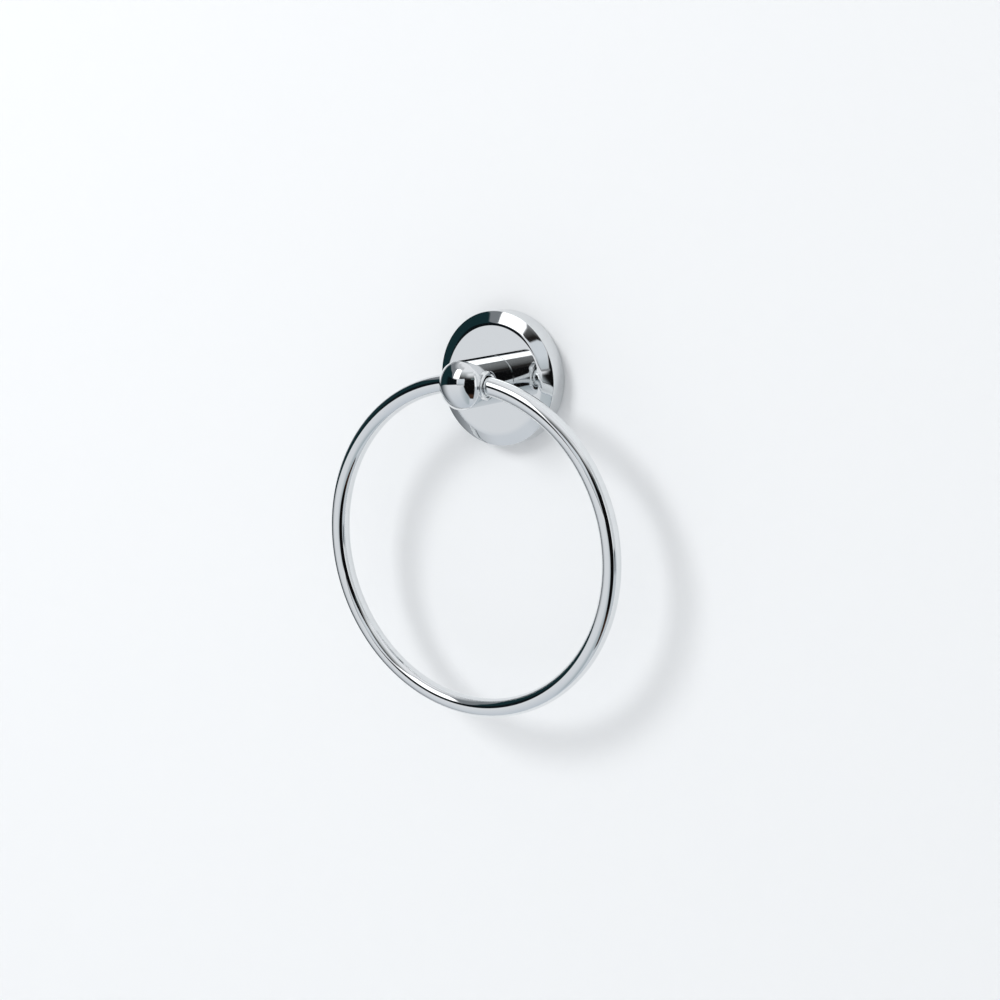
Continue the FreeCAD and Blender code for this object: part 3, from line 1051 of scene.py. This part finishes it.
@dataclass(frozen=True)
class ScrewThread:
    """A right-hand thread cut into a plain shank by a node tree.

    Crests and roots are flat for a small share of the pitch, as on a rolled thread, and the
    groove runs out softly at both ends.
    """

    axis: Axis
    centre: Vector
    shank: float
    pitch: float
    start: float
    end: float
    depth_share: float = 0.56
    flat_share: float = 0.07
    run_out: float = 0.5
    near_shank: float = 0.02

    def tree(self, finish: Material) -> NodeTree:
        """A node tree that moves the shank's points inwards along a helix.

        Args:
            finish: the material that the tree sets.

        Returns:
            The tree, with the pitch and the groove's depth, start, end and run-out as inputs.
        """
        tree, given = open_tree(
            "RolledThread", "Shank", [(name, "Float") for name in self.values()], "Screw")
        across, aside, along = self.axis.value
        maths = partial(arithmetic, tree)
        fade = partial(spread, tree)

        def vector(kind: str, output: str, inputs: dict) -> NodeSocket:
            """One vector step."""
            step = add_node(tree, "ShaderNodeVectorMath", inputs, operation=kind)
            return step.outputs[output]

        place = add_node(tree, "GeometryNodeInputPosition").outputs[0]
        spoke = vector("SUBTRACT", "Vector", {0: place, 1: self.centre * MM})
        height = vector("DOT_PRODUCT", "Value", {0: spoke, 1: along})
        level = vector("SCALE", "Vector", {0: along, "Scale": height})
        radial = vector("SUBTRACT", "Vector", {0: spoke, 1: level})
        turn = maths("ARCTAN2", vector("DOT_PRODUCT", "Value", {0: spoke, 1: aside}),
                     vector("DOT_PRODUCT", "Value", {0: spoke, 1: across}))
        phase = maths("SUBTRACT", maths("DIVIDE", height, given["Pitch"]),
                      maths("DIVIDE", turn, 2 * math.pi))
        half_turn = 0.5
        groove = fade(maths("PINGPONG", phase, half_turn), self.flat_share, half_turn - self.flat_share)
        run = given["Run Out"]
        begun = fade(height, given["Start"], maths("ADD", given["Start"], run))
        ended = fade(maths("MULTIPLY", height, -1.0), maths("MULTIPLY", given["End"], -1.0),
                     maths("SUBTRACT", run, given["End"]))
        on_shank = maths("COMPARE", vector("LENGTH", "Value", {0: radial}), self.shank * MM,
                         self.near_shank * MM)
        cut = maths("MULTIPLY", maths("MULTIPLY", groove, maths("MULTIPLY", begun, ended)),
                    maths("MULTIPLY", on_shank, maths("MULTIPLY", given["Depth"], -1.0)))
        shift = vector("SCALE", "Vector", {
            0: vector("NORMALIZE", "Vector", {0: radial}), "Scale": cut})
        moved = add_node(tree, "GeometryNodeSetPosition", {
            "Geometry": given["Shank"], "Offset": shift})
        close_tree(tree, moved.outputs[0], finish)
        return tree

    def values(self) -> dict[str, float]:
        """The tree's sizes in metres, by the names of its inputs."""
        return {
            "Pitch": self.pitch * MM,
            "Depth": self.pitch * self.depth_share * MM,
            "Start": self.start * MM,
            "End": self.end * MM,
            "Run Out": self.run_out * self.pitch * MM,
        }

    def cut(self, piece: Object, finish: Material) -> None:
        """Cut the thread into a turned piece and shade it again.

        Args:
            piece: the turned piece, with close rings along its shank.
            finish: the material that the tree sets.
        """
        piece.data.attributes.remove(piece.data.attributes[TRUE_NORMAL])
        soften(piece.data)
        run_tree(piece, self.tree(finish), self.values())
        soften(piece.data)


@dataclass
class WallPlate:
    """The die-cast plate: undercut edge, central recess and two countersunk slots."""

    lip: float
    front: float
    core: float = 29.7
    shoulder: float = 3.65
    lip_out: float = 5.65
    recess: float = 7.25
    floor: float = 4.0
    edge: float = 0.3
    draft_blend: float = 0.6
    lip_blend: float = 0.15
    shoulder_blend: float = 0.3
    back_edge: float = 0.4
    slot_half: float = 2.5
    slot_low: float = 17.75
    slot_high: float = 22.25
    countersink: float = 1.6
    slot_steps: int = 40

    def outline(self) -> Outline:
        """Recess floor, recess wall, front face, lip, undercut, core and back.

        Returns:
            The half-profile, that starts and ends on the axis.
        """
        return Outline(0.0, self.floor).corners(
            (self.recess, self.floor, self.draft_blend),
            (self.recess, self.front, self.edge),
            (self.lip, self.front, self.edge),
            (self.lip, self.lip_out, self.lip_blend),
            (self.core, self.shoulder, self.shoulder_blend),
            (self.core, 0.0, self.back_edge),
            (0.0, 0.0, 0.0),
            steps=5,
        )

    def slot(self, side: int) -> Object:
        """The cutter of one countersunk slot, above the middle or below it.

        Args:
            side: 1 for the upper slot, -1 for the lower one.

        Returns:
            The cutter as an object.
        """
        layers = []
        levels = ((-OVERRUN, 0.0), (self.front - self.countersink, 0.0),
                  (self.front + OVERRUN, self.countersink + OVERRUN))
        for out, grown in levels:
            ring = []
            for end, centre in ((1, self.slot_high), (-1, self.slot_low)):
                for step in range(self.slot_steps + 1):
                    angle = math.pi * step / self.slot_steps
                    x = end * math.cos(angle) * (self.slot_half + grown)
                    z = end * math.sin(angle) * (self.slot_half + grown) + centre
                    ring.append(Vector((x, -out, z if side > 0 else -z)))
            layers.append(ring if side > 0 else ring[::-1])
        return layered("slot_cutter", layers)

    def build(self, shop: Workshop) -> None:
        """Cast the plate, cut its slots and hand it over.

        Args:
            shop: the workshop that dresses the piece and hands it over.
        """
        plate = Turning().piece("wall_plate_casting", self.outline())
        carve(plate, self.slot(1), self.slot(-1))
        shop.hand_over(plate, "wall_plate", Slot.ZINC, "wall_mount")


@dataclass
class PostScrew:
    """The button-head socket screw that pulls the post onto the rose from behind."""

    head_out: float
    end: float
    head: float
    seat: float
    shank: float = 3.0
    pitch: float = 1.0
    tip: float = 0.6
    rim: float = 0.5
    rim_blend: float = 1.6
    rim_turn: float = 45.0
    flats: float = 4.0
    socket: float = 2.0
    sides: int = 72
    rings_per_pitch: int = 14

    def outline(self) -> Outline:
        """Tip, shank in close rings, underside of the head, rim and low dome.

        Returns:
            The half-profile, that starts and ends on the axis.
        """
        shape = Outline(0.0, self.end).line(self.shank - self.tip, self.end)
        shape.line(self.shank, self.end - self.tip)
        length = self.end - self.tip - self.seat
        shape.line(self.shank, self.seat, steps=round(length / self.pitch * self.rings_per_pitch))
        shape.line(self.head, self.seat)
        shape.line(self.head, self.seat - self.rim)
        shape.arc(self.rim_blend, self.rim_turn, steps=8)
        share = math.sin(math.radians(self.rim_turn))
        drop = self.seat - self.rim - self.rim_blend * share - self.head_out
        shape.arc(drop / (1 - share), 90 - self.rim_turn, steps=12)
        return shape.line(0.0, self.head_out)

    def build(self, shop: Workshop) -> None:
        """Turn the screw, cut its thread and its socket, and hand it over.

        Args:
            shop: the workshop that dresses the piece and hands it over.
        """
        turning = Turning(sides=self.sides)
        screw = turning.piece("post_screw_button_head", self.outline())
        thread = ScrewThread(turning.axis, turning.centre, self.shank, self.pitch,
                             self.seat + self.pitch, self.end - self.tip)
        thread.cut(screw, shop.finishes[Slot.STEEL])
        carve(screw, hexagonal_bar(turning.axis, turning.centre, self.flats,
                                   self.head_out - OVERRUN, self.head_out + self.socket))
        shop.hand_over(screw, "post_screw", Slot.STEEL, "wall_mount")


@dataclass
class PunchedWasher:
    """A flat washer: one face has the rounded edge that the punch leaves."""

    node: str
    radius: float
    back: float
    front: float
    hole: float = 3.2
    rollover: float = 0.3
    burr_break: float = 0.08

    def piece(self) -> Object:
        """Turn the washer.

        Returns:
            The washer as an object.
        """
        shape = Outline(self.hole + self.burr_break, self.front).corners(
            (self.radius, self.front, self.burr_break),
            (self.radius, self.back, self.rollover),
            (self.hole, self.back, self.rollover),
            (self.hole, self.front - self.burr_break, 0.0),
            (self.hole + self.burr_break, self.front, 0.0),
            steps=5,
        )
        return Turning(sides=BORE_SIDES).piece(self.node + "_punched", shape)

    def build(self, shop: Workshop) -> None:
        """Punch the washer and hand it over."""
        shop.hand_over(self.piece(), self.node, Slot.STEEL, "wall_mount")


@dataclass
class SpringWasher(PunchedWasher):
    """The split lock washer, pressed flat; its slit leans across its thickness."""

    rollover: float = 0.2
    slit: float = 0.8
    lean: float = 0.45

    def build(self, shop: Workshop) -> None:
        """Turn the flat washer, open its slit and hand it over.

        Args:
            shop: the workshop that dresses the piece and hands it over.
        """
        washer = self.piece()
        overrun = OVERRUN / 2
        middle = (self.front + self.back) / 2
        layers = []
        for z in (self.hole - overrun, self.radius + overrun):
            ring = []
            for across, out in ((-1, self.back), (-1, self.front), (1, self.front), (1, self.back)):
                tall = (out - middle) * (1 + 2 * overrun / (self.front - self.back))
                ring.append(Vector((across * self.slit / 2 + tall * self.lean, -middle - tall, z)))
            layers.append(ring)
        carve(washer, layered("slit_cutter", layers))
        shop.hand_over(washer, self.node, Slot.STEEL, "wall_mount")


@dataclass
class SetScrew:
    """The cone-point set screw that locks the rose onto the plate from below."""

    tip: float
    end: float
    radius: float = 2.0
    point: float = 0.7
    out: float = 3.2
    pitch: float = 0.7
    edge: float = 0.25
    flats: float = 2.0
    socket: float = 1.8
    sides: int = 64
    rings_per_pitch: int = 14

    def build(self, shop: Workshop) -> None:
        """Turn the screw, cut its thread and its socket, and hand it over.

        Args:
            shop: the workshop that dresses the piece and hands it over.
        """
        cone = self.tip + self.radius - self.point
        shape = Outline(0.0, self.end).line(self.radius - self.edge, self.end)
        shape.line(self.radius, self.end - self.edge)
        length = self.end - self.edge - cone
        shape.line(self.radius, cone, steps=round(length / self.pitch * self.rings_per_pitch))
        shape.line(self.point, self.tip).line(0.0, self.tip)
        turning = Turning(Axis.DOWN, Vector((0.0, -self.out, 0.0)), self.sides)
        screw = turning.piece("grub_screw_cone_point", shape)
        thread = ScrewThread(turning.axis, turning.centre, self.radius, self.pitch,
                             cone, self.end - self.edge)
        thread.cut(screw, shop.finishes[Slot.STEEL])
        carve(screw, hexagonal_bar(turning.axis, turning.centre, self.flats,
                                   self.end - self.socket, self.end + OVERRUN))
        shop.hand_over(screw, "grub_screw", Slot.STEEL, "wall_mount")


@dataclass(frozen=True)
class Panel:
    """One soft-edged flat area of the studio that the mirrors see.

    A direction is an azimuth and an elevation in degrees: azimuth 0 is straight out from
    the wall and positive to the object's right. The corners run anticlockwise with azimuth
    to the right and elevation upwards, and the area is convex. Soft is half the width of
    the blurred edge: one value for all the sides, or one for each from the first corner on.
    The colour turns into the top colour between the two elevations of fade.
    """

    name: str
    colour: str
    corners: tuple[tuple[float, float], ...]
    soft: tuple[float, ...]
    level: float = 1.0
    top_colour: str = ""
    fade: tuple[float, float] = (0.0, 90.0)

    def edges(self) -> list[tuple[float, float, float, float]]:
        """Work out how far inside each side a direction lies.

        Returns:
            For each side the factors of azimuth and elevation, a constant and its softness.
        """
        count = len(self.corners)
        rows = []
        for i, soft in enumerate(self.soft if len(self.soft) > 1 else self.soft * count):
            x, y = self.corners[i]
            next_x, next_y = self.corners[(i + 1) % count]
            across, up = next_x - x, next_y - y
            length = math.hypot(across, up)
            rows.append((-up / length, across / length, (up * x - across * y) / length, soft))
        return rows


@dataclass
class Studio:
    """Wall, floor, lamp and what the mirrors see of the room."""

    wall_colour: str = "EDEFF1"
    floor_colour: str = "FAFBFC"
    sky_colour: str = "EDEFF1"
    paint_roughness: float = 0.9
    ambient: float = 0.735
    wall_gap: float = 0.2
    wall_reach: float = 4000.0
    mirrored_left: float = 140.0
    wall_hole: float = 33.5
    wall_hole_steps: int = 64
    floor_drop: float = 1250.0
    floor_reach: float = 20000.0
    lamp_azimuth: float = -28.0
    lamp_elevation: float = 30.0
    lamp_distance: float = 3000.0
    lamp_size: float = 1000.0
    lamp_power: float = 36.5
    mirror_share: float = 0.8
    open_colour: str = "DCDDE0"
    panels: tuple[Panel, ...] = (
        Panel("pale_floor", "B4BBC3", ((-200, -90), (200, -90), (200, -1), (-200, -1)), (2,),
              top_colour="D3D5D8", fade=(-90, -1)),
        Panel("floor_on_the_right", "A0A9AE", ((9, -78), (36, -78), (36, -1.5), (9, -1.5)),
              (6, 4, 1, 18)),
        Panel("floor_by_the_right_wall", "B8BDC2", ((57, -60), (110, -60), (110, -4), (57, -4)), (2,)),
        Panel("right_wall", "C4C7CA", ((57, -4), (110, -4), (110, 45), (57, 45)), (2,)),
        Panel("dark_corner", "30363A", ((65.5, -15), (76, -15), (76, -3), (65.5, -3)), (2,)),
        Panel("bright_strip", "F6F7F8", ((57.5, -4), (62.5, -4), (62.5, 37), (57.5, 37)),
              (2, 2.5, 2, 1.5)),
        Panel("beyond_the_left_wall", "7C8084", ((-200, -70), (-102, -70), (-102, 60), (-200, 60)), (3,)),
        Panel("floor_by_the_left_wall", "3A4146", ((-130, -48), (-74, -48), (-74, -4), (-130, -4)),
              (22, 26, 3, 10)),
        Panel("ceiling_shade", "B2B4B7", ((-75, 57), (-2, 57), (-2, 68), (-75, 68)), (5,)),
        Panel("grey_wall", "72767A", ((-101, 34), (-33, 17), (-36, 60), (-101, 62)), (3,),
              top_colour="C4C6C9", fade=(48, 63)),
        Panel("dark_room", "14292D", (
            (-101, -8.6), (-40, -0.6), (-28, 1), (-36, 20), (-50, 34.5), (-62, 37), (-82, 38),
            (-100, 35), (-103, 26)), (1.2,)),
        Panel("dark_room_end", "0A1013", ((-60, -3), (-12.5, 2.3), (-15.5, 20.3), (-60, 20.3)),
              (1.2, 1.2, 1.2, 9)),
        Panel("fading_wall", "1E1C1B", ((-7, 24), (58, 21), (58, 54), (-7, 54)), (1.5, 1.5, 4, 1.5),
              top_colour="CDD0D2", fade=(27, 54)),
        Panel("fading_wall_end", "1E1C1B", ((27, 24), (58, 22), (58, 48), (27, 48)), (1.5, 1.5, 3, 12),
              top_colour="D8DADC", fade=(26.5, 41)),
        Panel("grey_lintel", "5F6A6B", ((43, 22), (57, 22), (57, 28.5), (43, 28.5)), (2,)),
        Panel("black_screen", "0A0A0B", ((15.5, -2), (56.3, -2), (56.3, 22), (17.5, 24)), (1.1,)),
        Panel("black_screen_foot", "0B0A0A", (
            (41, -51), (56.8, -51), (56.8, 0), (13.5, 0), (21.5, -24)), (1.5,)),
        Panel("brown_foot", "3B2A22", ((38, -49), (56, -49), (54, -33), (31, -33)), (2, 2, 5, 2)),
        Panel("pale_door", "A9B0B4", ((-11.5, 3), (16, 3.5), (16, 26), (-9, 22.5)), (0.9,),
              top_colour="C8CDD2", fade=(3, 13)),
        Panel("door_sill", "77797B", ((-12, 0.5), (18, 2), (18, 3.6), (-12, 3)), (0.5,)),
        Panel("soft_light", "FFFFFF", (
            (-33, 22.8), (-7.5, 25), (-8.5, 54.5), (-20, 57), (-41.5, 52.5)), (1.2,), level=1.6),
    )

    def build(self) -> None:
        """Put up the whole studio."""
        self.wall()
        self.floor()
        self.lamp()
        self.surroundings()

    def sheet(self, name: str, faces: Sequence[Sequence[Vector]], colour: str, one_sided: bool,
              mirrored: bool) -> None:
        """Put up a flat plain sheet of the stage.

        Args:
            name: the object's name.
            faces: the corners of each face, facing the side from which they run anticlockwise.
            colour: its hex colour.
            one_sided: whether it is clear when seen from behind.
            mirrored: whether the mirrors see it.
        """
        mesh = bpy.data.meshes.new(name)
        points = [corner * MM for face in faces for corner in face]
        ends = accumulate(len(face) for face in faces)
        mesh.from_pydata(points, [], [range(end - len(face), end) for end, face in zip(ends, faces)])
        piece = as_object(name, mesh)
        finish, tree, shader = new_finish(name + "_matt_paint")
        feed(tree, shader, {
            "Base Color": linear(colour), "Roughness": self.paint_roughness, "Specular IOR Level": 0.0})
        if one_sided:
            side = add_node(tree, "ShaderNodeNewGeometry").outputs["Backfacing"]
            clear = add_node(tree, "ShaderNodeBsdfTransparent").outputs[0]
            feed(tree, tree.nodes["Material Output"], {
                "Surface": either(tree, side, shader.outputs[0], clear)})
        mesh.materials.append(finish)
        piece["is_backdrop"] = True
        piece.visible_glossy = mirrored

    def wall(self) -> None:
        """The wall just behind the rose, clear from behind so that the back can be seen.

        It has a round hole behind the rose, which lets light in from behind. Its far left part
        isn't mirrored: there the mirrors see the panels.
        """
        reach, drop, left = self.wall_reach, -self.floor_drop, -self.mirrored_left
        arc = []
        for step in range(self.wall_hole_steps + 1):
            angle = math.pi * (1 - step / self.wall_hole_steps)
            arc.append((self.wall_hole * math.cos(angle), self.wall_hole * math.sin(angle)))
        under = [(x, -z) for x, z in reversed(arc)]
        above = [(left, 0), *arc, (reach, 0), (reach, reach), (left, reach)]
        below = [(left, drop), (reach, drop), (reach, 0), *under, (left, 0)]
        far_left = [(-reach, drop), (left, drop), (left, reach), (-reach, reach)]
        for name, outlines, mirrored in (("studio_wall", (above, below), True),
                                         ("studio_wall_left", (far_left,), False)):
            faces = [[Vector((x, self.wall_gap, z)) for x, z in outline] for outline in outlines]
            self.sheet(name, faces, self.wall_colour, one_sided=True, mirrored=mirrored)

    def floor(self) -> None:
        """The floor far below; mirrors see the panels' floor instead."""
        reach = self.floor_reach
        square = ((-reach, -reach), (reach, -reach), (reach, reach), (-reach, reach))
        corners = [Vector((x, y, -self.floor_drop)) for x, y in square]
        self.sheet("studio_floor", [corners], self.floor_colour, one_sided=False, mirrored=False)

    def lamp(self) -> None:
        """The soft light that throws the ring's shadow to the lower right."""
        away = direction(self.lamp_azimuth, self.lamp_elevation)
        light = bpy.data.lights.new("soft_light", "AREA")
        light.size = self.lamp_size * MM
        light.energy = self.lamp_power
        lamp = bpy.data.objects.new("soft_light", light)
        turned = away.to_track_quat("Z", "Y").to_matrix().to_4x4()
        lamp.matrix_world = Matrix.Translation(away * self.lamp_distance * MM) @ turned
        lamp.visible_glossy = False
        lamp.visible_camera = False
        bpy.context.scene.collection.objects.link(lamp)

    def surroundings(self) -> None:
        """What the mirrors see, by direction; matt surfaces get one plain level."""
        world = bpy.data.worlds.new("Studio")
        bpy.context.scene.world = world
        world.use_nodes = True
        tree = world.node_tree
        tree.nodes.clear()
        maths = partial(arithmetic, tree)

        def mix(share: NodeSocket, first: Any, second: Any) -> NodeSocket:
            """The first colour turning into the second one."""
            step = add_node(tree, "ShaderNodeMix", {
                MIX_SHARE: share, MIX_FIRST: first, MIX_SECOND: second}, data_type="RGBA")
            return step.outputs[MIX_RESULT]

        where = add_node(tree, "ShaderNodeTexCoord").outputs["Generated"]
        x, y, z = add_node(tree, "ShaderNodeSeparateXYZ", {0: where}).outputs
        azimuth = maths("DEGREES", maths("ARCTAN2", x, maths("MULTIPLY", y, -1.0)))
        elevation = maths("DEGREES", maths("ARCSINE", z))
        colour = linear(self.open_colour, 1 / self.mirror_share)
        for panel in self.panels:
            mask = None
            for across, up, constant, soft in panel.edges():
                inside = maths("MULTIPLY_ADD", elevation, up, constant)
                side = spread(tree, maths("MULTIPLY_ADD", azimuth, across, inside), -soft, soft,
                              curve="SMOOTHSTEP")
                mask = maths("MULTIPLY", mask, side) if mask else side
            paint = linear(panel.colour, panel.level / self.mirror_share)
            if panel.top_colour:
                top = linear(panel.top_colour, panel.level / self.mirror_share)
                paint = mix(spread(tree, elevation, *panel.fade), paint, top)
            colour = mix(mask, colour, paint)
        path = add_node(tree, "ShaderNodeLightPath").outputs
        plain = mix(path["Is Camera Ray"], linear("FFFFFF", self.ambient), linear(self.sky_colour))
        matt = add_node(tree, "ShaderNodeBackground", {"Color": plain}).outputs[0]
        mirrored = add_node(tree, "ShaderNodeBackground", {"Color": colour}).outputs[0]
        add_node(tree, "ShaderNodeOutputWorld", {
            "Surface": either(tree, path["Is Glossy Ray"], matt, mirrored)})


@dataclass(frozen=True)
class PhotoCamera:
    """The camera that was fitted to the photograph."""

    place: tuple[float, float, float] = (536.7, -794.7, 122.6)
    yaw: float = 34.295
    pitch: float = 11.047
    roll: float = -0.312
    focal: float = 1.8791
    sensor: float = 36.0
    nearest_m: float = 0.01
    farthest_m: float = 200.0

    def build(self) -> None:
        """Make the camera the scene's own."""
        yaw, roll = math.radians(self.yaw), math.radians(self.roll)
        back = direction(self.yaw, self.pitch)
        level = Vector((math.cos(yaw), math.sin(yaw), 0.0))
        up = level.cross(-back)
        right = level * math.cos(roll) + up * math.sin(roll)
        top = up * math.cos(roll) - level * math.sin(roll)
        data = bpy.data.cameras.new("photo_camera")
        data.sensor_width = self.sensor
        data.lens = self.focal * self.sensor
        data.clip_start = self.nearest_m
        data.clip_end = self.farthest_m
        camera = bpy.data.objects.new("photo_camera", data)
        turned = Matrix((right, top, back)).transposed().to_4x4()
        camera.matrix_world = Matrix.Translation(Vector(self.place) * MM) @ turned
        bpy.context.scene.collection.objects.link(camera)
        bpy.context.scene.camera = camera


def main() -> None:
    """Build each sub-assembly in order."""
    logging.basicConfig(level=logging.INFO, format="%(name)s: %(message)s")
    bpy.context.scene.view_settings.view_transform = "Standard"
    shop = Workshop()
    shop.prepare()
    rose, post, bush, ring = map(measured, ("wall_rose", "post", "bush_right", "ring"))
    rod = (ring.far - ring.near) / 2
    axis_out = (ring.far + ring.near) / 2
    WallRose(radius=rose.right, depth=rose.far).build(shop)
    Post(radius=post.right, apex=post.far, base=rose.far, tail=post.near, axis_out=axis_out).build(shop)
    collar = CollarBush(face=bush.right, end=bush.left, collar=bush.top, axis_out=axis_out)
    collar.build(shop, "right", Axis.RIGHT)
    collar.build(shop, "left", Axis.LEFT)
    SwingRing(rod=rod, axis_out=axis_out, sag=rod - ring.top, big=ring.right - rod).build(shop)
    plate, screw, lock, washer, grub = map(measured, (
        "wall_plate", "post_screw", "lock_washer", "post_washer", "grub_screw"))
    WallPlate(lip=plate.right, front=plate.far).build(shop)
    PostScrew(head_out=screw.near, end=screw.far, head=screw.right, seat=lock.near).build(shop)
    SpringWasher("lock_washer", radius=lock.right, back=lock.near, front=lock.far).build(shop)
    PunchedWasher("post_washer", radius=washer.right, back=washer.near, front=washer.far).build(shop)
    SetScrew(tip=-grub.top, end=-grub.bottom).build(shop)
    Studio().build()
    PhotoCamera().build()
    boxes = {"cad": CAD_BOX, "visual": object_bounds()}
    {name: [list(corner) for corner in box] for name, box in boxes.items()}


if __name__ == "__main__":
    main()
